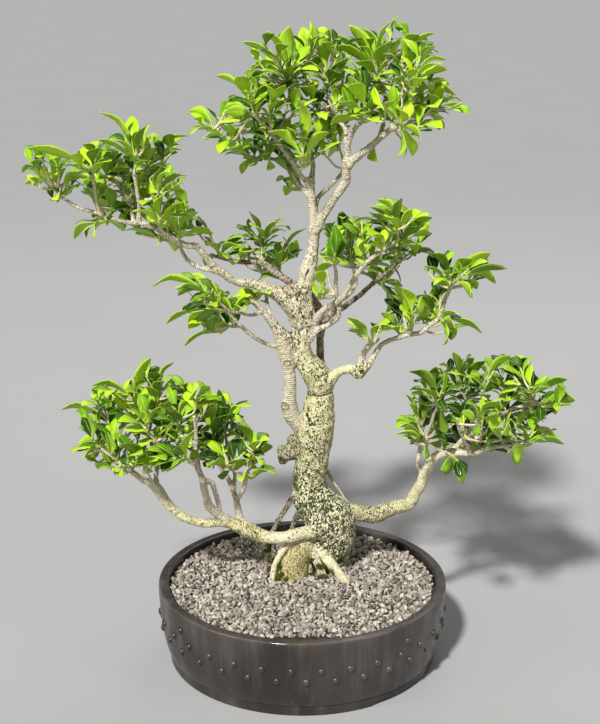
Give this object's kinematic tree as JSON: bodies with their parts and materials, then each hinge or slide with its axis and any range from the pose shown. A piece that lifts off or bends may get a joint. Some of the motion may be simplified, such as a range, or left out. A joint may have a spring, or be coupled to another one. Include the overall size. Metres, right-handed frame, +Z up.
{
  "type": "chinese banyan bonsai",
  "caption": "Ficus bonsai with aerial roots, long low branches and leafy pads, standing in the gravel-topped soil of a round studded pot.",
  "frame": {"origin": "centre of the pot's footprint, on the surface that its foot ring stands on", "axes": "+Z up the tree, +X to the right as seen from the front, +Y to the back"},
  "size_m": [0.707, 0.39, 0.8542],
  "materials": {
    "pot": "dark brown-black satin pot, slightly mottled",
    "soil": "coarse taupe-grey gravel, dull",
    "bark": "pale cream-grey bark, speckled dark green low down, dull",
    "foliage": "bright glossy green leaves on pale green shoots"
  },
  "bodies": {
    "root": {"pot": "pot", "soil": "soil", "spray_apex_01": "foliage", "spray_apex_02": "foliage", "spray_apex_03": "foliage", "spray_apex_04": "foliage", "spray_apex_05": "foliage", "spray_apex_06": "foliage", "spray_apex_07": "foliage", "spray_apex_08": "foliage", "spray_apex_09": "foliage", "spray_apex_10": "foliage", "spray_apex_11": "foliage", "spray_apex_12": "foliage", "spray_apex_13": "foliage", "spray_left_01": "foliage", "spray_left_02": "foliage", "spray_left_03": "foliage", "spray_lower_left_01": "foliage", "spray_lower_left_02": "foliage", "spray_lower_left_03": "foliage", "spray_lower_left_04": "foliage", "spray_lower_left_05": "foliage", "spray_lower_left_06": "foliage", "spray_lower_left_07": "foliage", "spray_lower_left_08": "foliage", "spray_lower_left_09": "foliage", "spray_lower_left_10": "foliage", "spray_lower_right_01": "foliage", "spray_lower_right_02": "foliage", "spray_lower_right_03": "foliage", "spray_lower_right_04": "foliage", "spray_lower_right_05": "foliage", "spray_lower_right_06": "foliage", "spray_lower_right_07": "foliage", "spray_lower_right_08": "foliage", "spray_lower_right_09": "foliage", "spray_middle_left_01": "foliage", "spray_middle_left_02": "foliage", "spray_middle_left_03": "foliage", "spray_middle_right_01": "foliage", "spray_middle_right_02": "foliage", "spray_middle_right_03": "foliage", "spray_middle_right_04": "foliage", "spray_middle_right_05": "foliage", "spray_middle_right_06": "foliage", "spray_right_01": "foliage", "spray_right_02": "foliage", "spray_right_03": "foliage", "spray_right_04": "foliage", "spray_right_05": "foliage", "spray_upper_left_01": "foliage", "spray_upper_left_02": "foliage", "spray_upper_left_03": "foliage", "spray_upper_left_04": "foliage", "spray_upper_left_05": "foliage", "spray_upper_left_06": "foliage", "spray_upper_left_07": "foliage", "spray_upper_left_08": "foliage", "tree_wood": "bark"}
  },
  "joints": []
}
